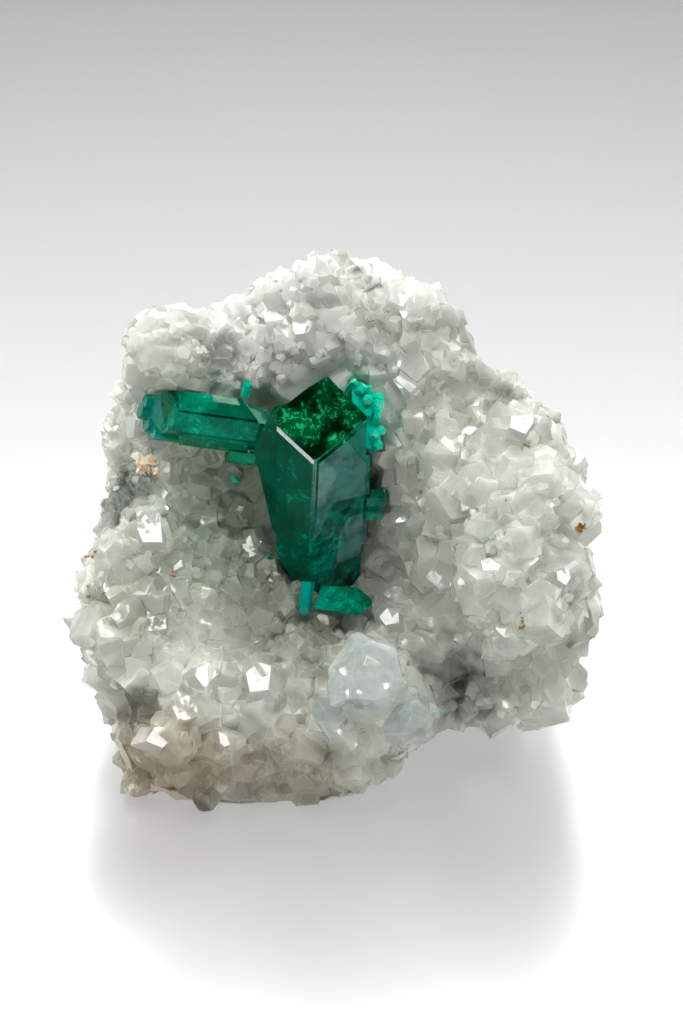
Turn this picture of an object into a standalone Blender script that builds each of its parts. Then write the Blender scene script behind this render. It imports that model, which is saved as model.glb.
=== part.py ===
"""Dioptase on quartz: a leaning lump of drusy quartz. Its hollow front holds one standing emerald-green
crystal, one lying crystal and some small ones. Metres, +Z up, on its flat-cut base, druse facing -Y."""

import math
import random

import bmesh
import bpy
from mathutils import Matrix, Vector, noise

MM = 0.001
GAP = 0.3 * MM  # kept between neighbouring pieces

# The druse is laid out on its own plane, in millimetres: u to the right, v up the face, w out of the face.
LEAN = math.radians(30)  # how far the face leans back from upright
FACE_CENTRE = (-0.1, -2.3, 31.2)  # where the face's centre stands, in millimetres
BACK_DEPTH = 25.3  # how far behind the face's centre the broken back stands
BACK_LEAN = 0.12  # the back leans forward by this share of its height
FLOOR_SIZE = 200.0  # the block that cuts the base flat

# Outline of the lump on the face plane, anticlockwise from the right.
OUTLINE = (
    (33.0, 0.0), (33.5, 6.0), (31.0, 12.0), (28.5, 17.0), (24.0, 20.0), (19.5, 22.5), (16.5, 29.0),
    (11.5, 32.5), (6.0, 36.0), (0.0, 36.5), (-6.5, 36.0), (-12.0, 32.5), (-17.5, 30.5), (-24.0, 28.5),
    (-28.0, 23.5), (-30.0, 17.0), (-30.5, 11.0), (-31.0, 5.5), (-32.5, 0.0), (-34.5, -6.0),
    (-34.5, -12.5), (-32.0, -19.0), (-29.5, -26.0), (-27.5, -33.0), (-20.5, -36.0), (-14.0, -37.0),
    (-4.5, -37.5), (1.5, -35.5), (6.0, -33.0), (10.5, -29.0), (15.0, -26.0), (21.0, -25.5),
    (27.5, -26.0), (30.5, -18.0), (35.0, -12.0), (35.0, -6.0),
)
RIM_INSET = 1.8  # the bare lump stops this far inside the outline, and its crystals fill the rest
RIM_DROP = 4.0

# Swells and hollows of the face: centre u, v, spread in u, spread in v, height.
SWELLS = {
    "right lobe": (23.0, -3.0, 12.0, 17.0, 11.0),
    "foot of the lobe": (24.0, -24.0, 10.0, 8.0, -6.0),
    "lower left mass": (-18.0, -22.0, 17.0, 11.0, 7.0),
    "ledge": (6.0, -21.0, 8.0, 6.5, 7.0),
    "gully by the ledge": (15.0, -17.0, 4.0, 9.0, -8.0),
    "vug": (-4.0, 3.0, 15.0, 15.0, -11.0),
    "right arm of the vug": (9.0, -5.0, 5.0, 9.0, -4.0),
    "top ridge": (-1.0, 31.0, 17.0, 6.0, 2.0),
    "upper left shoulder": (-20.0, 25.0, 8.0, 6.0, 3.5),
    "upper right shoulder": (15.0, 26.0, 7.0, 6.0, 3.0),
    "saddle": (19.0, 17.0, 6.0, 5.0, -3.0),
    "worn left edge": (-29.0, 9.0, 5.0, 7.0, -3.0),
    "left cheek": (-28.0, -8.0, 7.0, 9.0, 3.0),
    "hollow at the green crystal's foot": (3.8, -6.8, 5.5, 4.0, -4.0),
}
BREAK_ROUGHNESS = 4.0  # height of the broken rock's steps on the back, twice that of the sides
BREAK_GRAIN = 11.0  # and how far apart they are
BREAK_SEED = 3

# Quartz points. The rhombohedral faces of quartz stand at 51.8 degrees to its base.
QUARTZ_SLOPE = math.radians(51.8)
QUARTZ_ROOT = 4.0  # how deep a point is rooted in the lump
QUARTZ_BLANK = 40.0  # the cube that a point is cut from
POINT_COUNT = 200
SPREAD_PAST_RIM = 1.12  # the points run over the rim and a little way down the sides
GOLDEN_ANGLE = math.pi * (3 - math.sqrt(5))
# The points that stand out: place u, v, half the width, lean in u and in v, and height of the shank.
LARGE_POINTS = (
    (-24.0, 1.0, 3.2, 0.35, -0.35, 0.8), (-17.0, -18.0, 2.8, 0.2, -0.5, 0.8),
    (-10.0, -18.0, 2.5, 0.3, 0.1, 0.8), (-21.0, -26.0, 3.4, -0.1, 0.3, 1.2),
    (-14.0, -27.0, 2.3, 0.5, 0.3, 0.6), (4.5, -18.0, 4.8, -0.1, 0.5, 0.4),
    (7.5, -11.5, 2.3, 0.0, 0.4, 1.5), (29.5, -4.5, 2.8, 0.3, 0.2, 0.6),
    (22.0, -12.0, 2.8, 0.1, 0.0, 1.2), (19.5, -6.5, 4.4, -0.3, 0.2, 0.2),
    (26.0, -10.0, 3.8, 0.2, -0.3, 0.4), (-11.0, -1.5, 2.3, 0.3, 0.0, 0.6),
    (-6.5, -9.5, 2.5, 0.3, 0.1, 1.2), (23.0, 14.0, 3.2, 0.0, 0.6, 0.2),
    (10.0, 29.0, 2.2, 0.7, 0.6, 1.8), (15.0, 4.5, 3.8, -0.5, 0.2, 0.4),
    (13.0, -3.0, 3.2, -0.5, 0.1, 0.6), (26.5, 7.0, 3.4, 0.2, 0.3, 0.2),
    (31.0, 3.5, 2.8, 0.6, 0.2, 0.4), (-4.5, -27.0, 3.2, 0.0, -0.3, 0.4),
    (2.0, -29.5, 3.0, 0.3, -0.4, 0.4), (-28.0, -13.5, 3.2, -0.4, 0.1, 0.4),
    (-23.0, 24.0, 3.4, -0.3, 0.3, 0.6), (-2.0, 34.0, 2.0, -0.1, 0.8, 0.8),
    (27.5, -21.0, 3.6, 0.5, -0.3, 0.6), (10.0, -24.0, 3.0, 0.5, -0.2, 0.6),
)
CLEAR_OF_LARGE = 0.6  # a small point this near to a large one, as a share of both widths, is left out

# Dioptase. Its rhombohedral faces stand at 51 degrees to the base, over every second prism edge.
DIOPTASE_SLOPE = math.radians(51.0)
DIOPTASE_BLANK = 60.0  # the cube that a crystal is cut from
FACE = Matrix.Translation(Vector(FACE_CENTRE) * MM) @ Matrix.Rotation(math.pi / 2 - LEAN, 4, "X")


def radius_at(angle):
    """Distance from the face's centre to the outline, in millimetres."""
    corners = sorted((math.atan2(v, u) % math.tau, math.hypot(u, v)) for u, v in OUTLINE)
    first, last = corners[0], corners[-1]
    corners = [(last[0] - math.tau, last[1]), *corners, (first[0] + math.tau, first[1])]
    angle %= math.tau
    for (a0, r0), (a1, r1) in zip(corners, corners[1:]):
        if a0 <= angle <= a1:
            return r0 + (r1 - r0) * (angle - a0) / (a1 - a0)


def relief(u, v):
    """Height of the druse face over its mean plane, in millimetres."""
    return sum(
        height * math.exp(-(((u - cu) / ru) ** 2) - ((v - cv) / rv) ** 2)
        for cu, cv, ru, rv, height in SWELLS.values()
    )


def lump_point(angle, s):
    """A point of the bare lump, in metres. s is 0 at the face's centre, 1 at the rim and 2 behind."""
    radius = (radius_at(angle) - RIM_INSET) * (s if s < 1 else 1 - 0.3 * (s - 1) ** 1.5)
    u, v = radius * math.cos(angle), radius * math.sin(angle)
    w = relief(u, v) - RIM_DROP * min(s, 1) ** 8
    if s > 1:
        w -= 70 * (s - 1) ** 1.2
    return Vector((u, v, w)) * MM


def lump_normal(angle, s):
    here, step = lump_point(angle, s), 0.02
    return (lump_point(angle, s + step) - here).cross(lump_point(angle + step, s) - here).normalized()


def quartz_lump():
    """The bare lump: a ball drawn out to the druse face in front and to a broken surface behind."""
    noise.seed_set(BREAK_SEED)
    bm = bmesh.new()
    bmesh.ops.create_icosphere(bm, subdivisions=3, radius=1)
    for vert in bm.verts:
        s = math.acos(max(-1, min(1, vert.co.z))) / (math.pi / 2)
        spot = FACE @ lump_point(math.atan2(vert.co.y, vert.co.x), s)
        rough = noise.noise_vector(spot / (BREAK_GRAIN * MM)) * BREAK_ROUGHNESS * MM
        back = (FACE_CENTRE[1] + BACK_DEPTH) * MM - BACK_LEAN * spot.z + rough.y
        spot += rough * min(1, max(0, s - 0.9) / 0.2) / 2
        spot.y = min(spot.y, back)
        vert.co = spot
    bmesh.ops.recalc_face_normals(bm, faces=bm.faces)
    return bm


def cut_solid(planes, size):
    """One crystal: a cube of this size, cut by each plane (normal, distance from the origin)."""
    bm = bmesh.new()
    bmesh.ops.create_cube(bm, size=size)
    for normal, distance in planes:
        normal = Vector(normal).normalized()
        geometry = bm.verts[:] + bm.edges[:] + bm.faces[:]
        cut = bmesh.ops.bisect_plane(
            bm, geom=geometry, dist=1e-7, plane_co=normal * distance, plane_no=normal, clear_outer=True
        )
        rim = [g for g in cut["geom_cut"] if isinstance(g, bmesh.types.BMEdge)]
        if rim:
            bmesh.ops.contextual_create(bm, geom=rim)
    bmesh.ops.remove_doubles(bm, verts=bm.verts, dist=1e-6)
    bmesh.ops.recalc_face_normals(bm, faces=bm.faces)
    return bm


def quartz_planes(rng, half_width, shank):
    """Faces of one quartz point: six sides, three large and three small sloping faces, and a flat root."""
    planes = [((0, 0, -1), QUARTZ_ROOT * MM)]
    for k in range(6):
        azimuth = math.radians(60 * k)
        across = Vector((math.cos(azimuth), math.sin(azimuth), 0))
        reach = half_width * (rng.uniform(0.9, 1.1) if k % 2 else rng.uniform(1.1, 1.7)) * MM
        slope = across * math.sin(QUARTZ_SLOPE) + Vector((0, 0, math.cos(QUARTZ_SLOPE)))
        planes.append((across, half_width * rng.uniform(0.85, 1.15) * MM))
        planes.append((slope, math.sin(QUARTZ_SLOPE) * reach + math.cos(QUARTZ_SLOPE) * shank * MM))
    return planes


def quartz_point(rng, collection, spot, axis, half_width, shank):
    planes = quartz_planes(rng, half_width, shank)
    obj = add_mesh("quartz_point", cut_solid(planes, QUARTZ_BLANK * MM), collection)
    turn = axis.to_track_quat("Z", "Y").to_matrix().to_4x4()
    spin = Matrix.Rotation(rng.uniform(0, math.tau), 4, "Z")
    obj.matrix_world = FACE @ Matrix.Translation(spot) @ turn @ spin


def quartz_points(collection):
    """The druse: large points where they are wanted, and smaller ones spread evenly between them."""
    rng = random.Random(5)
    for u, v, half_width, lean_u, lean_v, shank in LARGE_POINTS:
        spot = Vector((u, v, relief(u, v) - 0.5)) * MM
        quartz_point(rng, collection, spot, Vector((lean_u, lean_v, 1)).normalized(), half_width, shank)
    for i in range(POINT_COUNT):
        s = math.sqrt((i + 0.5) / POINT_COUNT) * SPREAD_PAST_RIM
        angle = i * GOLDEN_ANGLE
        spot, out = lump_point(angle, s), lump_normal(angle, s)
        half_width = rng.triangular(1.5, 3.0, 2.1) if s < 0.88 else rng.uniform(1.4, 2.2)
        u, v = spot.x / MM, spot.y / MM
        gaps = [(math.hypot(u - p[0], v - p[1]), half_width + p[2]) for p in LARGE_POINTS]
        if any(apart < CLEAR_OF_LARGE * widths for apart, widths in gaps):
            continue
        tilt = Vector((rng.gauss(0, 0.42), rng.gauss(0, 0.42), 0.5 * s))
        axis = (out + tilt).normalized()
        quartz_point(rng, collection, spot, axis, half_width, rng.uniform(-0.8, 0.8))


def lattice(c_axis, edge):
    """Turns a crystal's directions, z along it and x towards its front edge, into face directions."""
    c = Vector(c_axis).normalized()
    n = (Vector(edge) - c * Vector(edge).dot(c)).normalized()
    return Matrix((n, c.cross(n), c)).transposed()


def side(turn, azimuth, distance):
    """A prism face of a dioptase crystal, at this many millimetres from its reference corner."""
    a = math.radians(azimuth)
    return turn @ Vector((math.cos(a), math.sin(a), 0)), distance * MM


def cap(turn, azimuth, height):
    """A rhombohedral face, which crosses the line of the reference corner at this height."""
    a = math.radians(azimuth)
    across = Vector((math.cos(a), math.sin(a), 0)) * math.sin(DIOPTASE_SLOPE)
    normal = turn @ (across + Vector((0, 0, math.cos(DIOPTASE_SLOPE))))
    return normal, height * math.cos(DIOPTASE_SLOPE) * MM


def flat(normal, distance):
    """Any other face, by its normal in face directions and its distance in millimetres."""
    return Vector(normal).normalized(), distance * MM


STANDING = lattice((0.016, 0.777, 0.629), (0.018, -0.629, 0.777))
LYING = lattice((-0.985, 0.130, 0.110), (0.1, -0.13, 0.98))


def moved(planes, shift):
    """The same crystal, moved by this many millimetres."""
    return [(normal, distance + normal.dot(Vector(shift)) * MM) for normal, distance in planes]


def standing_crystal():
    """The large crystal: a prism under one flat rhombic face, with growth plates and a left shoulder."""
    t = STANDING
    right = (0.480, -0.577, 0.661)
    shaft = [
        flat(right, 0), side(t, -30, 0), side(t, 90, 6.85), side(t, -90, 4.6), cap(t, 0, 0),
        flat((-0.469, 0.586, -0.661), 5.85), flat((-0.395, 0.638, -0.661), 6.3),
        flat((0.53, 0.53, -0.661), 6.85), flat(t @ Vector((0.8215, -0.25, 0.3145)), -0.11),
        flat((0, -1, 0.1), 15.3), flat((-0.87, -0.49, 0), 10.0),
    ]
    upper_plate = [
        flat(right, 0.3), side(t, -30, -0.5), side(t, 90, 6.7), side(t, -90, 0), cap(t, 0, -0.4),
        flat((0.643, -0.766, 0), 6.7), flat((0.53, 0.53, -0.661), 5.0),
    ]
    lower_plate = [
        flat(right, 0.3), flat((-0.987, -0.16, 0), -2.6), side(t, 90, 6.7),
        flat((-0.643, 0.766, 0), -7.6),
        flat((0.546, -0.838, 0), 12.5), flat((0.53, 0.53, -0.661), 5.0),
    ]
    right_rib = [
        flat(right, -1.6), side(t, 90, 7.5), flat((-1, 0, 0), -4.0), flat((0, -1, 0.1), 13.2),
        flat((0, 1, 0), 1.0), flat((0, 0, -1), 16),
    ]
    shoulder = [
        flat((-0.976, -0.215, 0), 7.1), flat((-0.992, 0.125, 0), 7.7), flat((-0.888, 0.459, 0), 7.7),
        flat((-0.45, -0.50, 0.74), -1.3), flat((1, 0, 0), -2.5), flat((0, -1, 0), 10.5),
        flat((0, 0, 1), -0.5), flat((-0.2, 0.75, -0.63), 6.6), flat((-0.5, 0, -0.86), 12),
    ]
    return (-2.79, 9.42, 9.0), [shaft, upper_plate, lower_plate, right_rib, shoulder]


def lying_crystal():
    """The crystal that lies to the left: three long faces in front, two ledges and a ragged left end."""
    t = LYING
    rng = random.Random(3)
    drop_to_the_right = flat((0.479, 0.878, 0), 5.1)
    end = flat((-0.8, 0, 0.6), 4.9)
    shaft = [
        side(t, 52, 2.8), side(t, -8, 3.1), side(t, -68, 2.45), side(t, 112, 2.65), side(t, 172, 3.3),
        side(t, -128, 3.1), end, flat((-1, 0, 0), 7.7), flat((1, 0, 0), 12.0), drop_to_the_right,
    ]
    upper_ledge = [
        side(t, 40, 3.5), side(t, 95, 3.5), side(t, 172, 2.2), side(t, -68, 0), flat((-0.9, 0.1, 0.4), 4.0),
        flat((0.8, 0.6, 0), 5.9), drop_to_the_right,
    ]
    lower_ledge = [
        side(t, -60, 2.9), side(t, -95, 3.5), side(t, -150, 3.0), side(t, 112, 0), side(t, -8, 2.4),
        flat((-0.95, -0.2, 0.1), 3.4), flat((1, 0, 0), 6.0),
    ]
    crystals = [shaft, upper_ledge, lower_ledge]
    for up, along in ((1.9, -7.0), (0.6, -7.6), (-0.9, -7.1), (-2.0, -5.6), (2.2, -4.9), (-0.4, -4.6)):
        width, reach = rng.uniform(0.8, 1.1), rng.uniform(0.1, 0.7)
        block = [side(t, a + 8, width) for a in range(0, 360, 60)]
        block += [cap(t, 60, reach + 1.0), flat((-0.9, 0.2, 0.4), reach), flat((1, 0, 0), 3.0)]
        crystals.append(moved(block, (along, up - 0.13 * along - 0.3, 5.6 + 0.95 * along)))
    return (-17.3, 14.9, 1.6), crystals


def lying_stub():
    """Two short prisms side by side under the lying crystal."""
    t = LYING
    upper = [side(t, a, 1.1) for a in range(-8, 352, 60)]
    upper += [flat((-0.94, 0.1, 0.3), 2.4), flat((1, 0, 0), 2.6)]
    return (-11.8, 12.0, 0.2), [upper, moved(upper, (0.2, -1.6, -0.2))]


def right_stub():
    """Short blocks that look out from behind the right of the standing crystal."""
    t = lattice((0.98, 0.03, 0.2), (0, -0.3, 0.95))
    block = [side(t, a, 1.15) for a in range(15, 375, 60)]
    block += [flat((0.97, 0.15, 0.2), 2.0), flat((0.8, -0.5, 0.3), 2.0), flat((-1, 0, 0), 3.0)]
    return (4.8, 4.9, -3.2), [block, moved(block, (-0.6, -1.7, -0.4))]


def foot_blade():
    """The bright flat crystal at the foot, its point to the right."""
    front = Vector((0.15, 0.45, 0.88))
    blade = [
        flat(front, 0.8), flat(-front, 0.8), flat((-0.9, 0.3, 0), 2.9), flat((0.05, 1, 0), 2.0),
        flat((0.65, 0.75, 0), 3.0), flat((0.55, -0.83, 0), 2.7), flat((-0.15, -0.99, 0), 1.3),
        flat((1, 0, 0), 4.2),
    ]
    return (0.6, -8.6, -1.0), [blade]


def foot_spike():
    """The blue-green finger beside the blade, pointing down."""
    t = lattice((-0.12, -0.95, 0.3), (0, 0, 1))
    finger = [side(t, a, 0.8) for a in range(0, 360, 60)]
    finger += [cap(t, a, 2.6) for a in (0, 120, 240)] + [flat((0, 1, 0), 2.0)]
    return (-3.8, -8.0, -1.4), [finger]


def right_cluster():
    """Small prisms in a curved row along the upper right edge of the standing crystal, on one low crust."""
    rng = random.Random(12)
    at = Vector((4.4, 15.5, 1.0))
    crust = [
        flat((1, 0.2, 0), 1.0), flat((-1, 0, 0.1), 2.2), flat((0, 1, 0.2), 4.0), flat((0, -1, 0), 4.2),
        flat((0, 0, 1), 0.2), flat((0, 0, -1), 5.5), flat((0.7, 0.7, 0), 2.6), flat((-0.6, -0.5, 0), 2.8),
    ]
    crystals = [crust]
    row = (
        (2.2, 19.6), (3.0, 19.0), (3.9, 18.6), (4.7, 18.2), (5.5, 17.2), (4.6, 16.6), (5.4, 15.8),
        (5.2, 14.6), (5.6, 13.4), (5.0, 12.6), (5.3, 11.7), (4.0, 17.4), (4.4, 15.4),
    )
    for u, v in row:
        t = lattice((rng.uniform(0, 1.0), rng.uniform(-0.2, 0.9), 1), (rng.uniform(-1, 1), -0.8, 0.3))
        width, length = rng.uniform(0.4, 0.7), rng.uniform(1.4, 2.8)
        prism = [side(t, a, width) for a in range(0, 360, 60)]
        prism += [cap(t, a, length) for a in (0, 120, 240)]
        prism.append((-(t @ Vector((0, 0, 1))), 1.5 * MM))
        crystals.append(moved(prism, Vector((u, v, at.z)) - at))
    return at, crystals


def loose_crystal():
    """The small crystal that stands alone above the lying one."""
    t = lattice((0.25, 0.85, 0.45), (0, -0.5, 0.85))
    prism = [side(t, a, 0.5) for a in range(0, 360, 60)] + [cap(t, 0, 0.9), cap(t, 120, 0.9)]
    return (-11.4, 19.4, 0.6), [prism + [flat((0, -1, -0.3), 1.6)]]


DIOPTASE = {
    "dioptase_standing_crystal": standing_crystal,
    "dioptase_lying_crystal": lying_crystal,
    "dioptase_lying_stub": lying_stub,
    "dioptase_right_stub": right_stub,
    "dioptase_foot_blade": foot_blade,
    "dioptase_foot_spike": foot_spike,
    "dioptase_right_cluster": right_cluster,
    "dioptase_loose_crystal": loose_crystal,
}


def add_mesh(name, bm, collection):
    mesh = bpy.data.meshes.new(name)
    bm.to_mesh(mesh)
    bm.free()
    obj = bpy.data.objects.new(name, mesh)
    collection.objects.link(obj)
    return obj


def add_collection(name):
    collection = bpy.data.collections.new(name)
    bpy.context.scene.collection.children.link(collection)
    return collection


def boolean(obj, operation, collection):
    """Joins or cuts obj by every object of the collection, which are only helpers."""
    for helper in collection.objects:
        helper.hide_render = True
        helper.display_type = "WIRE"
    modifier = obj.modifiers.new(operation.title(), "BOOLEAN")
    modifier.operation = operation
    modifier.operand_type = "COLLECTION"
    modifier.collection = collection


def material(name, colour, roughness):
    made = bpy.data.materials.new(name)
    made.use_nodes = True
    shader = made.node_tree.nodes["Principled BSDF"]
    shader.inputs["Base Color"].default_value = (*colour, 1)
    shader.inputs["Roughness"].default_value = roughness
    shader.inputs["Metallic"].default_value = 0
    return made


def main():
    for obj in list(bpy.data.objects):
        bpy.data.objects.remove(obj)
    parts = add_collection("dioptase_on_quartz")
    green = material("dioptase", (0.0, 0.20, 0.11), 0.05)
    clear = material("quartz", (0.62, 0.66, 0.62), 0.2)

    points = add_collection("quartz_points")
    quartz_points(points)
    matrix = add_mesh("quartz_matrix", quartz_lump(), parts)
    matrix.data.materials.append(clear)
    boolean(matrix, "UNION", points)

    pockets = add_collection("pockets_for_dioptase")
    for name, shape in DIOPTASE.items():
        at, crystals = shape()
        place = FACE @ Matrix.Translation(Vector(at) * MM)
        own = add_mesh(name, cut_solid(crystals[0], DIOPTASE_BLANK * MM), parts)
        own.matrix_world = place
        own.data.materials.append(green)
        if len(crystals) > 1:
            twins = add_collection(name + "_twins")
            for planes in crystals[1:]:
                add_mesh(name + "_twin", cut_solid(planes, DIOPTASE_BLANK * MM), twins).matrix_world = place
            boolean(own, "UNION", twins)
        if pockets.objects:
            older = add_collection(name + "_neighbours")
            for helper in pockets.objects:
                older.objects.link(helper)
            boolean(own, "DIFFERENCE", older)
        for planes in crystals:
            grown = [(n, d + GAP) for n, d in planes]
            add_mesh(name + "_pocket", cut_solid(grown, DIOPTASE_BLANK * MM), pockets).matrix_world = place

    floor = bmesh.new()
    bmesh.ops.create_cube(floor, size=FLOOR_SIZE * MM)
    add_mesh("below_the_base", floor, pockets).location = (0, 0, -FLOOR_SIZE / 2 * MM)
    boolean(matrix, "DIFFERENCE", pockets)


main()
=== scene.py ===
"""Dioptase on drusy quartz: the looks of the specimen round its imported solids. Metres, +Z up, front at -Y."""

import math
import random

import bmesh
import bpy
import numpy as np
from mathutils import Euler, Matrix, Vector, noise
from mathutils.bvhtree import BVHTree
from mathutils.kdtree import KDTree


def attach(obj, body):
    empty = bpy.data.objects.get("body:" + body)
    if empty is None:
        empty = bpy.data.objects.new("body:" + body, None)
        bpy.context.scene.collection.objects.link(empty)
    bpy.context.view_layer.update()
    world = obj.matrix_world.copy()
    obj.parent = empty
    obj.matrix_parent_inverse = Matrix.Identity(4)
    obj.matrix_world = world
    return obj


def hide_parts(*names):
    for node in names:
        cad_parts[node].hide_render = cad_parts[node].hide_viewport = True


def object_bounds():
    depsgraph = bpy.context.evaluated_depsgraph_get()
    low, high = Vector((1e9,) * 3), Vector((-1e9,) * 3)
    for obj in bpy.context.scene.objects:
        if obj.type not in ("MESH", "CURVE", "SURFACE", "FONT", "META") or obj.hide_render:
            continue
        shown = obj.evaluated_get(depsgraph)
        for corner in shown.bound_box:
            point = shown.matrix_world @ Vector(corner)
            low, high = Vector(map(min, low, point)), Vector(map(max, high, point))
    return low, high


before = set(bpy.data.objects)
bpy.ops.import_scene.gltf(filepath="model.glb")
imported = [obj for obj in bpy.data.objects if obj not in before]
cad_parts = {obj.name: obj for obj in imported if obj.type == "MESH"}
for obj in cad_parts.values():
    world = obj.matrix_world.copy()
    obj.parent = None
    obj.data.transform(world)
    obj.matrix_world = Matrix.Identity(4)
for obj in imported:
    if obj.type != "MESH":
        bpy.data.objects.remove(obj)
cad_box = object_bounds()


# The face of the specimen and the camera. The druse is laid out on its own plane, as in the solids: u to the
# right, v up the face, w out of it, in millimetres. The face leans back from upright, and the camera looks
# squarely at it from 420 mm.
MM = 0.001
LEAN = math.radians(30)
FACE_CENTRE = (-0.1, -2.3, 31.2)
FACE = Matrix.Translation(Vector(FACE_CENTRE) * MM) @ Matrix.Rotation(math.pi / 2 - LEAN, 4, "X")
OUTWARD = FACE.to_3x3() @ Vector((0, 0, 1))
VIEW_CENTRE = (0.85, 3.1, 420.0)
VIEW_HEIGHT = 133.12  # millimetres of the face plane that fill the height of the picture
PICTURE = (683, 1024)
VIEW_SCALE = VIEW_HEIGHT / PICTURE[1]  # millimetres of the face plane in one pixel of the picture
SENSOR = 36.0

camera = bpy.data.objects.new("camera", bpy.data.cameras.new("camera"))
bpy.context.scene.collection.objects.link(camera)
camera.matrix_world = FACE @ Matrix.Translation(Vector(VIEW_CENTRE) * MM)
camera.data.sensor_width = SENSOR
camera.data.lens = SENSOR * VIEW_CENTRE[2] / VIEW_HEIGHT
camera.data.clip_start = 0.01
bpy.context.scene.camera = camera


# The studio: a pale table of cast acrylic in the light of large softboxes, with a painted pool of light: it
# glows, brightest under the specimen, though no lamp is under it. Its satin surface gives a soft, blurred
# mirror image of the specimen. Two small bare lamps put hard glints on single facets.
def linear(hex_colour):
    """A linear colour with alpha from an sRGB hex value."""
    parts = [int(hex_colour[i:i + 2], 16) / 255 for i in (0, 2, 4)]
    return (*[p / 12.92 if p <= 0.04045 else ((p + 0.055) / 1.055) ** 2.4 for p in parts], 1)


def add(tree, kind, inputs=None, **settings):
    """Adds one shader node with its settings, its input values and the sockets that feed it."""
    made = tree.nodes.new("ShaderNode" + kind)
    for name, value in settings.items():
        setattr(made, name, value)
    for name, value in (inputs or {}).items():
        if isinstance(value, bpy.types.NodeSocket):
            tree.links.new(value, made.inputs[name])
        else:
            made.inputs[name].default_value = value
    return made


def material(name, inputs):
    """A material with its Principled shader set, and that shader's tree to go on with."""
    made = bpy.data.materials.new(name)
    made.use_nodes = True
    shader = made.node_tree.nodes["Principled BSDF"]
    for key, value in inputs.items():
        shader.inputs[key].default_value = value
    return made, made.node_tree, shader


TABLE_RADIUS = 2.5
TABLE_GAP = 0.2 * MM
TABLE_FADE = (0.07, 0.42)  # how far from the specimen the painted glow begins and ends to fade
TABLE_PAINTED_GLOW = (0.38, 0.03)  # strength of the painted glow under the specimen and far off
table = bmesh.new()
bmesh.ops.create_circle(table, cap_ends=True, segments=96, radius=TABLE_RADIUS)
table_mesh = bpy.data.meshes.new("table")
table.to_mesh(table_mesh)
table.free()
table = bpy.data.objects.new("table", table_mesh)
bpy.context.scene.collection.objects.link(table)
table.location = (0, 0, -TABLE_GAP)
acrylic, tree, shader = material("satin_cast_acrylic", {"Roughness": 0.3, "IOR": 2.4, "Metallic": 0.0})
place = add(tree, "TexCoord")
away = add(tree, "VectorMath", {0: place.outputs["Object"], 1: (0.0, 0.02, 0.0)}, operation="DISTANCE")
fade = add(tree, "MapRange", {0: away.outputs["Value"], 1: TABLE_FADE[0], 2: TABLE_FADE[1]},
           interpolation_type="SMOOTHSTEP")
# The base colour is a touch lighter under the specimen too, part of the same painted pool of light.
tone = add(tree, "Mix", {0: fade.outputs[0], 6: linear("646464"), 7: linear("606060")}, data_type="RGBA")
tree.links.new(tone.outputs[2], shader.inputs["Base Color"])
# The glow is emission painted into the table, strongest under the specimen: a painted pool of light.
painted_glow = add(tree, "MapRange", {0: fade.outputs[0], 1: 0.0, 2: 1.0, 3: TABLE_PAINTED_GLOW[0], 4: TABLE_PAINTED_GLOW[1]})
tree.links.new(painted_glow.outputs[0], shader.inputs["Emission Strength"])
shader.inputs["Emission Color"].default_value = (1, 1, 1, 1)
table_mesh.materials.append(acrylic)

# The room is pale round the table and dark behind the camera.
ROOM_EDGES = (0.55, 0.9)  # cosine of the angle from the camera's side where it begins and ends to darken
ROOM_LIGHT = (0.95, 0.01)
world = bpy.data.worlds.new("studio")
world.use_nodes = True
bpy.context.scene.world = world
tree = world.node_tree
direction = add(tree, "TexCoord").outputs["Generated"]
ahead = add(tree, "VectorMath", {0: direction, 1: OUTWARD}, operation="DOT_PRODUCT")
dim = add(tree, "MapRange", {0: ahead.outputs["Value"], 1: ROOM_EDGES[0], 2: ROOM_EDGES[1],
                             3: ROOM_LIGHT[0], 4: ROOM_LIGHT[1]})
tree.links.new(dim.outputs[0], tree.nodes["Background"].inputs["Strength"])


def softbox(name, at, aim, width, height, radiance):
    """A softbox at a place in millimetres, turned to a point, with its brightness as radiance."""
    light = bpy.data.lights.new(name, "AREA")
    light.shape = "RECTANGLE"
    light.size, light.size_y = width * MM, height * MM
    light.energy = radiance * math.pi * light.size * light.size_y
    obj = bpy.data.objects.new(name, light)
    bpy.context.scene.collection.objects.link(obj)
    obj.location = Vector(at) * MM
    obj.rotation_euler = (Vector(aim) - Vector(at)).to_track_quat("-Z", "Y").to_euler()
    obj.visible_camera = False


MIDDLE = (0, 0, 30)
softbox("backdrop", (0, 560, 640), MIDDLE, 1500, 560, 5.3)
softbox("overhead", (-140, -60, 640), MIDDLE, 240, 220, 11.5)
softbox("key_right", (390, -165, 470), MIDDLE, 180, 180, 13.0)
softbox("left_strip", (-480, 160, 260), MIDDLE, 200, 320, 8.0)
softbox("low_strip_left", (-150, -290, 40), MIDDLE, 60, 90, 8.0)
softbox("back_right", (420, 280, 150), (20, -10, 10), 260, 160, 5.0)
softbox("low_front", (120, -460, 60), MIDDLE, 420, 120, 2.6)
softbox("lamp_left", (-160, -200, 480), MIDDLE, 30, 30, 150.0)
softbox("lamp_right", (300, 60, 480), MIDDLE, 30, 30, 150.0)
bpy.context.scene.view_settings.view_transform = "Standard"
bpy.context.scene.cycles.adaptive_threshold = 0.15
bpy.context.scene.cycles.max_bounces = 7
bpy.context.scene.cycles.diffuse_bounces = 3
bpy.context.scene.cycles.glossy_bounces = 3
bpy.context.scene.cycles.transmission_bounces = 5
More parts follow.
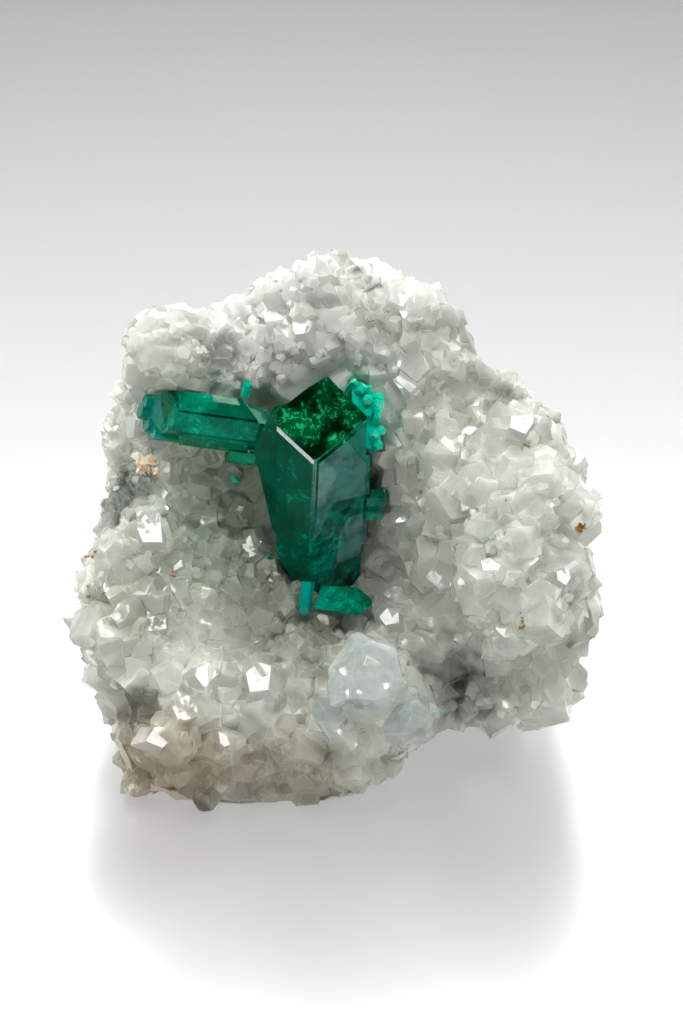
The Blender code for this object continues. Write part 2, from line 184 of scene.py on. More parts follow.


# The quartz, milky to clear, grown as one from the massive vein to the druse. Light scatters inside it, so it
# looks like wet ice. It has cloudy zones, stains from the minerals round it, painted shade in the hollow and in
# a crevice, a green tint in the hollow that is partly painted green light from the dioptase, healed cracks that
# mirror the light in small patches, and fine growth lines.
# The bare lump under the points is as in the solids: first the corners of the druse, u and v.
OUTLINE = (
    (33.0, 0.0), (33.5, 6.0), (31.0, 12.0), (28.5, 17.0), (24.0, 20.0), (19.5, 22.5), (16.5, 29.0),
    (11.5, 32.5), (6.0, 36.0), (0.0, 36.5), (-6.5, 36.0), (-12.0, 32.5), (-17.5, 30.5), (-24.0, 28.5),
    (-28.0, 23.5), (-30.0, 17.0), (-30.5, 11.0), (-31.0, 5.5), (-32.5, 0.0), (-34.5, -6.0),
    (-34.5, -12.5), (-32.0, -19.0), (-29.5, -26.0), (-27.5, -33.0), (-20.5, -36.0), (-14.0, -37.0),
    (-4.5, -37.5), (1.5, -35.5), (6.0, -33.0), (10.5, -29.0), (15.0, -26.0), (21.0, -25.5),
    (27.5, -26.0), (30.5, -18.0), (35.0, -12.0), (35.0, -6.0),
)
RIM_INSET = 1.8
RIM_DROP = 4.0
BACK_TAPER = 0.3
BACK_SWEEP = 70.0
SWELLS = (  # centre u, v, spread in u, spread in v, height
    (23.0, -3.0, 12.0, 17.0, 11.0), (24.0, -24.0, 10.0, 8.0, -6.0), (-18.0, -22.0, 17.0, 11.0, 7.0),
    (6.0, -21.0, 8.0, 6.5, 7.0), (15.0, -17.0, 4.0, 9.0, -8.0), (-4.0, 3.0, 15.0, 15.0, -11.0),
    (9.0, -5.0, 5.0, 9.0, -4.0), (-1.0, 31.0, 17.0, 6.0, 2.0), (-20.0, 25.0, 8.0, 6.0, 3.5),
    (15.0, 26.0, 7.0, 6.0, 3.0), (19.0, 17.0, 6.0, 5.0, -3.0), (-29.0, 9.0, 5.0, 7.0, -3.0),
    (-28.0, -8.0, 7.0, 9.0, 3.0), (3.8, -6.8, 5.5, 4.0, -4.0),
)
CORNERS = sorted((math.atan2(v, u) % math.tau, math.hypot(u, v)) for u, v in OUTLINE)
ANGLES, RADII = zip(*CORNERS)


def relief(u, v):
    """Height of the druse face over its mean plane, in millimetres."""
    return sum(h * math.exp(-(((u - cu) / ru) ** 2) - ((v - cv) / rv) ** 2) for cu, cv, ru, rv, h in SWELLS)


def lump_point(angle, s):
    """A point of the bare lump, in millimetres. s is 0 at the middle of the face, 1 at its rim, 2 behind."""
    radius = float(np.interp(angle, ANGLES, RADII, period=math.tau)) - RIM_INSET
    radius *= s if s < 1 else 1 - BACK_TAPER * (s - 1) ** 1.5
    u, v = radius * math.cos(angle), radius * math.sin(angle)
    w = relief(u, v) - RIM_DROP * min(s, 1) ** 8
    if s > 1:
        w -= BACK_SWEEP * (s - 1) ** 1.2
    return Vector((u, v, w))


def lump_normal(angle, s):
    """The way the bare lump faces at that point."""
    here, step = lump_point(angle, s), 0.02
    return (lump_point(angle, s + step) - here).cross(lump_point(angle + step, s) - here).normalized()


# Milky zone along the top, then the stains and the painted light, by where they lie: u, v, radius in
# millimetres, colour, strength. The grey-green at -14, 2 and 7, 2 lies in the hollow: partly the quartz's own
# tint, partly painted green light from the dioptase and painted shade. The dark grey at 16, -18 is painted
# shade in the crevice between the ledge and the lobe.
STAINS_AND_PAINTED_LIGHT = (
    (-4.0, 29.0, 24.0, "fdfef8", 0.75), (-14.0, 2.0, 15.0, "97ad90", 0.55),
    (-6.0, -11.0, 14.0, "8a8f7c", 0.7), (7.0, 2.0, 10.0, "a9b09f", 0.3),
    (-22.0, -31.0, 14.0, "b39c78", 0.65), (-6.0, -32.0, 12.0, "b0a084", 0.55),
    (16.0, -18.0, 9.0, "57544a", 0.95), (-28.5, 6.0, 6.5, "6c776b", 0.8),
    (-26.0, -22.0, 4.5, "5b6058", 0.8), (-18.5, -36.0, 4.0, "5c5b52", 0.8),
    (-15.0, 23.5, 4.0, "666a60", 0.7), (3.5, 35.0, 3.0, "5d5a50", 0.8),
    (21.5, 19.5, 4.5, "6a6e64", 0.5), (14.0, -14.0, 4.0, "7d7864", 0.6),
    (-25.0, -9.0, 9.0, "a3a491", 0.5),
)
CLOUD_SIZE = 4.5
WANDER_SIZE = 3.0
WANDER = 6.0  # how far the edge of a stain wanders
CRACK_WANDER = 0.12  # share of it that cracks take
LINE_SPACING = 0.8  # real ones are finer, and wouldn't show
LINE_DEPTH = 0.05
FLAWS = ((2.2, 0.4), (1.1, 0.3))  # spacing of healed cracks in millimetres, share of the tilt
# Cracks that show as fine lines: spacing and width in millimetres, colour, strength.
CRACKS = ((2.8, 0.14, "ffffff", 0.4),)
WEATHERING = (4.0, 15.0)  # millimetres behind the middle where it begins and where it is full
HALF = (-0.5, -0.5, -0.5)  # brings a noise colour round zero


def quartz(name, inputs, pale, grey, tilt, weathered=None):
    """Quartz with cloudy zones, stains, painted shade and painted green light, cracks tilted this much, and a
    weathered back if it has a colour.
    """
    made, tree, shader = material(name, {"IOR": 1.544, **inputs})
    shader.subsurface_method = "BURLEY"
    place = add(tree, "TexCoord").outputs["Object"]
    clouds = add(tree, "TexNoise", {"Vector": place, "Scale": 1 / (CLOUD_SIZE * MM), "Detail": 3.0,
                                    "Roughness": 0.6})
    cloudy = add(tree, "MapRange", {0: clouds.outputs["Fac"], 1: 0.35, 2: 0.65}).outputs[0]
    colour = add(tree, "Mix", {0: cloudy, 6: linear(pale), 7: linear(grey)}, data_type="RGBA").outputs[2]
    jitter = add(tree, "TexNoise", {"Vector": place, "Scale": 1 / (WANDER_SIZE * MM), "Detail": 2.0})
    shift = add(tree, "VectorMath", {0: jitter.outputs["Color"], 1: HALF}, operation="ADD")
    shift = add(tree, "VectorMath", {0: shift.outputs[0], "Scale": WANDER * MM}, operation="SCALE")
    ragged = add(tree, "VectorMath", {0: place, 1: shift.outputs[0]}, operation="ADD").outputs[0]
    bend = add(tree, "VectorMath", {0: shift.outputs[0], "Scale": CRACK_WANDER}, operation="SCALE").outputs[0]
    bent = add(tree, "VectorMath", {0: place, 1: bend}, operation="ADD").outputs[0]
    # Stains, and among them painted shade and painted green light in the hollow and in a crevice.
    for u, v, radius, tint, strength in STAINS_AND_PAINTED_LIGHT:
        centre = FACE @ (Vector((u, v, relief(u, v))) * MM)
        far = add(tree, "VectorMath", {0: ragged, 1: centre}, operation="DISTANCE").outputs["Value"]
        mask = add(tree, "MapRange", {0: far, 1: radius * MM, 2: 0.35 * radius * MM, 4: strength},
                   interpolation_type="SMOOTHSTEP").outputs[0]
        colour = add(tree, "Mix", {0: mask, 6: colour, 7: linear(tint)}, data_type="RGBA").outputs[2]
    for spacing, width, tint, strength in CRACKS:
        edge = add(tree, "TexVoronoi", {"Vector": bent, "Scale": 1 / (spacing * MM)},
                   feature="DISTANCE_TO_EDGE").outputs["Distance"]
        mask = add(tree, "MapRange", {0: edge, 1: width / spacing, 2: 0.0, 4: strength}).outputs[0]
        mask = add(tree, "Math", {0: mask, 1: cloudy}, operation="MULTIPLY").outputs[0]
        colour = add(tree, "Mix", {0: mask, 6: colour, 7: linear(tint)}, data_type="RGBA").outputs[2]
    if weathered:
        behind = add(tree, "SeparateXYZ", {0: ragged}).outputs["Y"]
        mask = add(tree, "MapRange", {0: behind, 1: WEATHERING[0] * MM, 2: WEATHERING[1] * MM, 4: 0.85})
        patchy = add(tree, "MapRange", {0: jitter.outputs["Fac"], 1: 0.3, 2: 0.7, 3: 0.6, 4: 1.0})
        mask = add(tree, "Math", {0: mask.outputs[0], 1: patchy.outputs[0]}, operation="MULTIPLY").outputs[0]
        colour = add(tree, "Mix", {0: mask, 6: colour, 7: linear(weathered)}, data_type="RGBA").outputs[2]
    tree.links.new(colour, shader.inputs["Base Color"])
    normal = add(tree, "NewGeometry").outputs["Normal"]
    for spacing, share in FLAWS:
        cells = add(tree, "TexVoronoi", {"Vector": bent, "Scale": 1 / (spacing * MM)})
        turned = add(tree, "VectorMath", {0: cells.outputs["Color"], 1: HALF}, operation="ADD")
        turned = add(tree, "VectorMath", {0: turned.outputs[0], "Scale": share * tilt}, operation="SCALE")
        normal = add(tree, "VectorMath", {0: normal, 1: turned.outputs[0]}, operation="ADD").outputs[0]
    normal = add(tree, "VectorMath", {0: normal}, operation="NORMALIZE").outputs[0]
    lines = add(tree, "TexNoise", {"Vector": place, "Scale": 1 / (LINE_SPACING * MM), "Detail": 1.0})
    ripple = add(tree, "Bump", {"Height": lines.outputs["Fac"], "Distance": LINE_DEPTH * MM,
                                "Normal": normal})
    tree.links.new(ripple.outputs[0], shader.inputs["Normal"])
    return made


# The broken rock: the specimen was split out of its vein, so its sides and back are massive milky quartz
# with conchoidal chips. The break is dull and grainy, and weathered to a brownish grey behind. The piece
# is also the milky core behind the druse, which is seen through the clear points.
ROCK_STEPS = 4.0
ROCK_GRAIN = 11.0
BACK_DEPTH = 25.3
BREAK_SEED = 3
BACK_LEAN = 0.12
BASE_INSET = 0.15
CHIPS = ((7.0, 0.16), (2.6, 0.22))  # spacing of the chips in millimetres, and how steeply each lies
RIM = 0.97  # from here outwards the rock is bare
LUMP_MIDDLE = (0, 0.010, 0.028)
CORE_DEPTH = 2.0
CORE_GAP = 0.8  # to a green crystal
CORE_PROBES = ((0, 0), (0.9, 0), (-0.9, 0), (0, 0.9), (0, -0.9))
CORE_FLOOR = -45.0  # w from which a green crystal is looked for
ROUGH_FROM = (0.9, 0.2)  # s where the break gets rough, and how far on it is full
PROUD_FROM = (0.85, 0.17)  # s where the rock stands out of the solid, and how far on it is full
PROUD = 0.3
CHIP_GRAIN = 0.37

bpy.context.view_layer.update()
depsgraph = bpy.context.evaluated_depsgraph_get()
GREEN = [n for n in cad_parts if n.startswith("dioptase")]
greens = [BVHTree.FromObject(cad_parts[n], depsgraph) for n in GREEN]


def core_height(u, v):
    """Height of the milky core: below the points' roots, and below every green crystal that stands here."""
    lowest = relief(u, v) - CORE_DEPTH
    for du, dv in CORE_PROBES:
        start = FACE @ (Vector((u + du, v + dv, CORE_FLOOR)) * MM)
        for green in greens:
            hit = green.ray_cast(start, OUTWARD)
            if hit[0] is not None:
                lowest = min(lowest, hit[3] / MM + CORE_FLOOR - CORE_GAP)
    return lowest


noise.seed_set(BREAK_SEED)
rock = bmesh.new()
bmesh.ops.create_icosphere(rock, subdivisions=6, radius=1)
for vert in rock.verts:
    s = math.acos(max(-1, min(1, vert.co.z))) / (math.pi / 2)
    bare = lump_point(math.atan2(vert.co.y, vert.co.x) % math.tau, s)
    if s < RIM:
        bare.z = core_height(bare.x, bare.y) - RIM_DROP * s ** 8
    spot = FACE @ (bare * MM)
    rough = noise.noise_vector(spot / (ROCK_GRAIN * MM)) * ROCK_STEPS * MM
    back = (FACE_CENTRE[1] + BACK_DEPTH) * MM - BACK_LEAN * spot.z + rough.y
    spot += rough * min(1, max(0, s - ROUGH_FROM[0]) / ROUGH_FROM[1]) / 2
    spot.y = min(spot.y, back)
    proud = PROUD * min(1, max(0, s - PROUD_FROM[0]) / PROUD_FROM[1])
    for spacing, steepness in CHIPS:
        near = noise.voronoi(spot / (spacing * MM))[1][0] * spacing * MM
        lean = noise.cell_vector(near / (CHIP_GRAIN * MM)).normalized()
        proud += (spot - near).dot(lean) / MM * steepness
    out = (spot - Vector(LUMP_MIDDLE)).normalized()
    vert.co = spot + (out * proud * MM if s > RIM else Vector())
cut = bmesh.ops.bisect_plane(
    rock, geom=rock.verts[:] + rock.edges[:] + rock.faces[:],
    plane_co=(0, 0, BASE_INSET * MM), plane_no=(0, 0, -1), clear_outer=True,
)
bmesh.ops.contextual_create(rock, geom=[g for g in cut["geom_cut"] if isinstance(g, bmesh.types.BMEdge)])
bmesh.ops.triangulate(rock, faces=[f for f in rock.faces if len(f.verts) > 3])
bmesh.ops.recalc_face_normals(rock, faces=rock.faces)
rock_mesh = bpy.data.meshes.new("broken_rock")
rock.to_mesh(rock_mesh)
rock.free()
broken_rock = bpy.data.objects.new("broken_rock", rock_mesh)
bpy.context.scene.collection.objects.link(broken_rock)
massive = quartz("broken_massive_quartz", {"Roughness": 0.35}, "e9e9e3", "bdbcb2", 0.6, "6f6a5c")
rock_mesh.materials.append(massive)
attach(broken_rock, "root")


# The druse: small clear quartz points that overgrow the large ones of the solid, finest along the top and in
# the hollow. Each is a six-sided shank under three large and three small sloping faces, as quartz grows.
QUARTZ_SLOPE = math.radians(51.8)
POINT_ROOT = 3.6  # in half widths of the point
BLANK = 12  # side of the cube that a shape is cut from


def cut_solid(planes, size):
    """A cube of this size, cut by each plane (normal, distance from the origin)."""
    bm = bmesh.new()
    bmesh.ops.create_cube(bm, size=size)
    for normal, distance in planes:
        normal = Vector(normal).normalized()
        cut = bmesh.ops.bisect_plane(
            bm, geom=bm.verts[:] + bm.edges[:] + bm.faces[:], dist=1e-7,
            plane_co=normal * distance, plane_no=normal, clear_outer=True,
        )
        rim = [g for g in cut["geom_cut"] if isinstance(g, bmesh.types.BMEdge)]
        if rim:
            bmesh.ops.contextual_create(bm, geom=rim)
    bmesh.ops.remove_doubles(bm, verts=bm.verts, dist=1e-5)
    bmesh.ops.recalc_face_normals(bm, faces=bm.faces)
    return bm


def shape_of(bm):
    """Corners and triangles of a solid as two arrays."""
    bmesh.ops.triangulate(bm, faces=bm.faces)
    bm.verts.index_update()
    corners = np.array([v.co for v in bm.verts])
    triangles = np.array([[v.index for v in f.verts] for f in bm.faces])
    bm.free()
    return corners, triangles


def quartz_template(rng):
    """One quartz point with a half width of 1."""
    planes = [((0, 0, -1), POINT_ROOT)]
    shank = rng.uniform(-0.3, 0.5)
    for k in range(6):
        a = math.radians(60 * k)
        across = Vector((math.cos(a), math.sin(a), 0))
        reach = rng.uniform(0.85, 1.05) if k % 2 else rng.uniform(1.2, 2.0)
        slope = across * math.sin(QUARTZ_SLOPE) + Vector((0, 0, math.cos(QUARTZ_SLOPE)))
        planes.append((across, rng.uniform(0.8, 1.2)))
        planes.append((slope, math.sin(QUARTZ_SLOPE) * reach + math.cos(QUARTZ_SLOPE) * shank))
    return shape_of(cut_solid(planes, BLANK))


def set_down(shape, position, turn, size):
    """Corners of a shape at its place, turned and scaled."""
    return shape @ (np.array(turn.to_matrix()).T * size) + np.array(position)


def merged(shapes, places):
    """Corners and triangles of many solids. A place is a shape's index, a position, a turn and a size."""
    corners, triangles, count = [], [], 0
    for index, position, turn, size in places:
        shape, faces = shapes[index]
        corners.append(set_down(shape, position, turn, size))
        triangles.append(faces + count)
        count += len(shape)
    return np.concatenate(corners), np.concatenate(triangles)


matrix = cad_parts["quartz_matrix"]
ground = BVHTree.FromObject(matrix, depsgraph)
PROBE = 7.0
LOWEST = 1.0 * MM  # over the table


def height_over(surface, spot, out):
    """Height of a surface over a point of the bare lump, in millimetres, or None where it isn't there."""
    hit = surface.ray_cast(FACE @ ((spot + out * PROBE) * MM), -(FACE.to_3x3() @ out))
    return None if hit[0] is None or hit[0].z < LOWEST else PROBE - hit[3] / MM


# The gaps between the large points are found from sites spread over the lump. A site's crest is the
# height that most of its neighbourhood reaches. Smaller points grow in the gaps up to that crest, the
# largest first.
SITES = 12000
SITE_REACH = 1.1
GOLDEN_ANGLE = math.pi * (3 - math.sqrt(5))
CROWD = 40  # sites in a neighbourhood, about 5 mm across
CREST = 88  # percentile
POINT_SHAPES = 24

rng = random.Random(7)
TEMPLATES = [quartz_template(rng) for _ in range(POINT_SHAPES)]
TIPS = [float(corners[:, 2].max()) for corners, _ in TEMPLATES]
sites = []
for i in range(SITES):
    s = math.sqrt((i + 0.5) / SITES) * SITE_REACH
    angle = i * GOLDEN_ANGLE % math.tau
    spot, out = lump_point(angle, s), lump_normal(angle, s)
    height = height_over(ground, spot, out)
    if height is not None:
        sites.append([spot, out, height, 0.0])
nearest = KDTree(len(sites))
for i, site in enumerate(sites):
    nearest.insert(site[0], i)
nearest.balance()
for site in sites:
    site[3] = float(np.percentile([sites[i][2] for _, i, _ in nearest.find_n(site[0], CROWD)], CREST))

# Tiers of points: smallest and largest half width, the least gap that they fill, how far apart they
# stand, and how far one may stand out, both in half widths.
TIERS = ((2.1, 3.3, 1.2, 0.7, 1.2), (1.3, 2.0, 0.8, 0.65, 4.5), (0.7, 1.1, 0.75, 0.65, 4.5))
MOST_FILL = 2.6  # millimetres over the solid druse
TIP_SCATTER = (-0.6, 0.05)  # in half widths
POINT_LEAN = 0.3
# Zones of smaller points, and bare zones of the solid that they overgrow: centre u, v, spread in u and v.
FINE_ZONES = ((-4.0, 27.0, 24.0, 9.0), (-6.0, 4.0, 15.0, 13.0), (-26.0, 5.0, 8.0, 10.0))
SMOOTH_ZONES = ((-7.0, 20.0, 6.0, 4.0), (-14.0, -39.0, 12.0, 5.0))
FINE_SHRINK = 0.3
FINE_GAP = 0.4
FINE_RISE = 0.55
SMOOTH_RISE = 1.2
GREEN_REACH = 1.5  # no point grows where a green crystal is over it, down to this far under the quartz
GREEN_GAP = 0.6  # from a tip to a green crystal, in half widths
TABLE_CLEARANCE = 0.1 * MM


def in_zones(spot, zones):
    """How far a point of the lump lies in one of these zones, from 0 to 1."""
    return max(math.exp(-(((spot.x - cu) / ru) ** 4) - ((spot.y - cv) / rv) ** 4) for cu, cv, ru, rv in zones)


placed = np.zeros((0, 4))
points = []
layers = [ground]
for smallest, largest, least_gap, spacing, most_rise in TIERS:
    tier = []
    for spot, out, height, crest in rng.sample(sites, len(sites)):
        fine, smooth = in_zones(spot, FINE_ZONES), in_zones(spot, SMOOTH_ZONES)
        half_width = rng.triangular(smallest, largest, smallest) * (1 - FINE_SHRINK * fine)
        lean = Vector((rng.gauss(0, POINT_LEAN), rng.gauss(0, POINT_LEAN), 0))
        spin, template, tint = rng.uniform(0, math.tau), rng.randrange(len(TEMPLATES)), rng.random()
        top = min(crest + SMOOTH_RISE * smooth, height + MOST_FILL)
        top = top + rng.uniform(*TIP_SCATTER) * half_width + FINE_RISE * fine
        if not least_gap * (1 - FINE_GAP * fine) < top - height < most_rise * half_width:
            continue
        tip = FACE @ ((spot + out * top) * MM)
        if any(not low < part < high for low, part, high in zip(cad_box[0], tip, cad_box[1])):
            continue
        above, down = FACE @ ((spot + out * 2 * PROBE) * MM), -(FACE.to_3x3() @ out)
        looked = (2 * PROBE - height + GREEN_REACH) * MM
        if any(green.ray_cast(above, down, looked)[0] is not None for green in greens):
            continue
        if min(green.find_nearest(tip)[3] for green in greens) < GREEN_GAP * half_width * MM:
            continue
        apart = np.linalg.norm(placed[:, :3] - np.array(tip), axis=1)
        if (apart < spacing * (placed[:, 3] + half_width * MM)).any():
            continue
        axis = (FACE.to_3x3() @ (out + lean)).normalized()
        turn = axis.to_track_quat("Z", "Y") @ Euler((0, 0, spin)).to_quaternion()
        root = tip - axis * TIPS[template] * half_width * MM
        inner, facing, _, _ = ground.ray_cast(root - axis * POINT_ROOT * half_width * MM, OUTWARD)
        corners = set_down(TEMPLATES[template][0], root, turn, half_width * MM)
        if inner is None or facing.dot(OUTWARD) < 0 or corners[:, 2].min() < TABLE_CLEARANCE:
            continue
        placed = np.vstack([placed, [*tip, half_width * MM]])
        tier.append((template, root, turn, half_width * MM, int(3 * tint)))
    points += tier
    corners, triangles = merged(TEMPLATES, [p[:4] for p in tier])
    grown = BVHTree.FromPolygons(corners.tolist(), triangles.tolist())
    layers.append(grown)
    for site in sites:
        risen = height_over(grown, site[0], site[1])
        site[2] = max(site[2], risen if risen is not None else site[2])

# Broad faces, each the end of one larger crystal. The first ones happen to mirror a softbox: where each
# is in the picture, its width and height in millimetres, which softbox, and whether healed cracks break
# the mirror up. The others are bluish blocks on the ledge, with how they are turned from the camera.
MIRRORS = (
    (150, 528, 2.9, 4.4, "overhead", False), (250, 548, 2.2, 3.2, "overhead", True),
    (178, 565, 1.1, 1.3, "overhead", False), (205, 674, 2.8, 2.2, "key_right", False),
    (259, 678, 2.9, 4.0, "overhead", True), (160, 737, 3.2, 2.4, "key_right", False),
    (226, 741, 1.9, 1.3, "key_right", False), (405, 312, 1.0, 3.2, "overhead", False),
    (462, 442, 1.5, 1.7, "key_right", False), (521, 424, 3.6, 2.0, "key_right", True),
    (561, 425, 1.1, 3.2, "key_right", False), (390, 618, 2.4, 2.0, "overhead", True),
    (505, 627, 2.4, 2.8, "key_right", False), (563, 577, 1.8, 1.6, "key_right", False),
    (475, 512, 1.3, 1.1, "overhead", False), (300, 330, 1.6, 1.4, "overhead", True),
    (205, 350, 1.4, 1.2, "overhead", False), (330, 765, 1.6, 1.4, "key_right", True),
)
BLOCKS = (
    (372, 672, 7.2, 8.0, (0.1, 0.25)),
    (330, 712, 4.2, 4.6, (0.0, 0.1)),
    (412, 716, 4.6, 4.2, (0.2, -0.1)),
)
MIRROR_SIDES = (58,) * 5  # the least slope of each side, in degrees
BLOCK_SIDES = (58, 18) * 4 + (58,)
STEEPEST_SIDE = 78
SIDE_TURN = 22
EDGE_HEIGHT = 0.25  # of the face over the druse, in millimetres
BLOCK_HEIGHT = 0.7
END_DEPTH = 1.8
CRACKED, CLEAN, BLUISH = 1, 3, 4  # places in KINDS


def on_face(px, py):
    """The point of the face plane behind a pixel of the picture."""
    u = VIEW_CENTRE[0] + (px - PICTURE[0] / 2) * VIEW_SCALE
    v = VIEW_CENTRE[1] - (py - PICTURE[1] / 2) * VIEW_SCALE
    return FACE @ (Vector((u, v, 0)) * MM)


def seen_at(px, py, surfaces):
    """The nearest point of these surfaces that the camera sees at a pixel of the picture, and its normal."""
    eye = camera.matrix_world.translation
    hits = [surface.ray_cast(eye, (on_face(px, py) - eye).normalized()) for surface in surfaces]
    hits = [hit for hit in hits if hit[0] is not None]
    return min(hits, key=lambda hit: hit[3])[:2] if hits else None


def crystal_end(wide, high, top, least_slopes):
    """The flat end of one larger crystal, in millimetres, with a side for each least slope."""
    planes = [((0, 0, 1), top), ((0, 0, -1), END_DEPTH)]
    for k, least in enumerate(least_slopes):
        a = math.radians(360 / len(least_slopes) * k + rng.uniform(-SIDE_TURN, SIDE_TURN))
        reach = 1 / math.hypot(math.cos(a) / (wide / 2), math.sin(a) / (high / 2))
        slope = math.radians(rng.uniform(least, STEEPEST_SIDE))
        across = Vector((math.cos(a) * math.sin(slope), math.sin(a) * math.sin(slope), math.cos(slope)))
        edge = Vector((math.cos(a) * reach, math.sin(a) * reach, EDGE_HEIGHT))
        planes.append((across, across.dot(edge)))
    return shape_of(cut_solid(planes, BLANK))


def turned_to(spot, towards):
    """A turn for a face that looks half way between the camera and this direction."""
    to_camera = (camera.matrix_world.translation - spot).normalized()
    return (to_camera + towards).normalized().to_track_quat("Z", "Y")


ENDS, mirrors, blocks = [], [], []
for px, py, wide, high, light, cracked in MIRRORS:
    seen = seen_at(px, py, layers)
    if seen is not None:
        towards = (bpy.data.objects[light].location - seen[0]).normalized()
        mirrors.append((len(ENDS), seen[0], turned_to(seen[0], towards), MM, CRACKED if cracked else CLEAN))
        ENDS.append(crystal_end(wide, high, EDGE_HEIGHT, MIRROR_SIDES))
for px, py, wide, high, aside in BLOCKS:
    seen = seen_at(px, py, layers)
    if seen is not None:
        towards = FACE.to_3x3() @ Vector((*aside, 0))
        blocks.append((len(ENDS), seen[0], turned_to(seen[0], towards), MM, BLUISH))
        ENDS.append(crystal_end(wide, high, BLOCK_HEIGHT, BLOCK_SIDES))


# The points and the solid druse are united into one skin, so light scatters through them as through one
# body. A union takes clean solids, so the points are dealt into groups in which no two boxes meet.
boxes = []
for template, root, turn, half_width, _ in points:
    corners = set_down(TEMPLATES[template][0], root, turn, half_width)
    boxes.append((corners.min(axis=0), corners.max(axis=0)))
low, high = np.array([b[0] for b in boxes]), np.array([b[1] for b in boxes])
group_of = np.full(len(points), -1)
for i in range(len(points)):
    meets = (low[:i] <= high[i]).all(axis=1) & (high[:i] >= low[i]).all(axis=1)
    taken = set(group_of[:i][meets])
    group_of[i] = next(g for g in range(len(points)) if g not in taken)

# Quartz faces are as smooth as glass where they grew. Cloudy and hazy points look like wet ice, clear
# ones like glass, the clean faces flash as one mirror each, and the bluish blocks look like cracked ice.
MILK = {"Subsurface Weight": 1.0, "Subsurface Scale": 1.8 * MM, "Subsurface Radius": (1.0, 1.0, 1.0)}
KINDS = (
    quartz("cloudy_quartz_points", {"Roughness": 0.04, "Transmission Weight": 0.5, **MILK},
           "eef1e6", "d8ded1", 0.5),
    quartz("clear_quartz_points", {"Roughness": 0.02, "Transmission Weight": 0.65, **MILK},
           "f8faf1", "e7ebe0", 0.3),
    quartz("hazy_quartz_points", {"Roughness": 0.05, "Transmission Weight": 0.58, **MILK},
           "f3f5ea", "e0e5d8", 0.4),
    quartz("clean_quartz_faces", {"Roughness": 0.05, "Transmission Weight": 0.6, **MILK},
           "dfe2da", "d2d6cd", 0.06),
    quartz("bluish_milky_quartz", {"Roughness": 0.05, "Transmission Weight": 0.5, **MILK},
           "dde5df", "bfcac4", 0.7),
    massive,
)
DRUSE_DEPTH = 8.0  # millimetres from the face down to the bare rock, which takes the rock's material
skin = bmesh.new()
skin.from_mesh(matrix.data)
bmesh.ops.remove_doubles(skin, verts=skin.verts, dist=1e-6)
to_face = FACE.inverted() @ matrix.matrix_world
for face in skin.faces:
    u, v, w = (to_face @ face.calc_center_median()) / MM
    if w < relief(u, v) - DRUSE_DEPTH:
        face.material_index = KINDS.index(massive)
skin_mesh = bpy.data.meshes.new("quartz_druse")
skin.to_mesh(skin_mesh)
skin.free()
druse = bpy.data.objects.new("quartz_druse", skin_mesh)
bpy.context.scene.collection.objects.link(druse)
druse.matrix_world = matrix.matrix_world
for kind in KINDS:
    druse.data.materials.append(kind)
groups = []
for g in range(group_of.max() + 1):
    groups.append((TEMPLATES, [point for point, mine in zip(points, group_of) if mine == g]))
groups += [(ENDS, mirrors), (ENDS, blocks)]
grown = []
for shapes, members in groups:
    corners, triangles = merged(shapes, [p[:4] for p in members])
    mesh = bpy.data.meshes.new("points")
    mesh.from_pydata(corners.tolist(), [], triangles.tolist())
    for kind in KINDS:
        mesh.materials.append(kind)
    kinds = np.concatenate([np.full(len(shapes[p[0]][1]), p[4]) for p in members])
    mesh.polygons.foreach_set("material_index", kinds)
    grown.append(bpy.data.objects.new("points", mesh))
    bpy.context.scene.collection.objects.link(grown[-1])
    union = druse.modifiers.new("union", "BOOLEAN")
    union.operation, union.solver, union.object = "UNION", "MANIFOLD", grown[-1]
    union.material_mode = "TRANSFER"
bpy.context.view_layer.update()
united = bpy.data.meshes.new_from_object(druse.evaluated_get(bpy.context.evaluated_depsgraph_get()))
druse.modifiers.clear()
druse.data = united
for old in grown:
    bpy.data.objects.remove(old)
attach(druse, "root")
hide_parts("quartz_matrix")


# Dioptase: a copper silicate that grows as glassy emerald-green prisms. Its green is in its depth: thin edges
# are turquoise, thick crystals nearly black-green. Faces are mirror-smooth, with fine growth steps.
ABSORPTION = 900.0  # per metre, for red
DEPTH_COLOUR = linear("00efdf")
FLAKE_EDGE = 0.07
STEP_SIZE = 1.2  # real growth steps are finer, and wouldn't show
STEP_DEPTH = 0.015


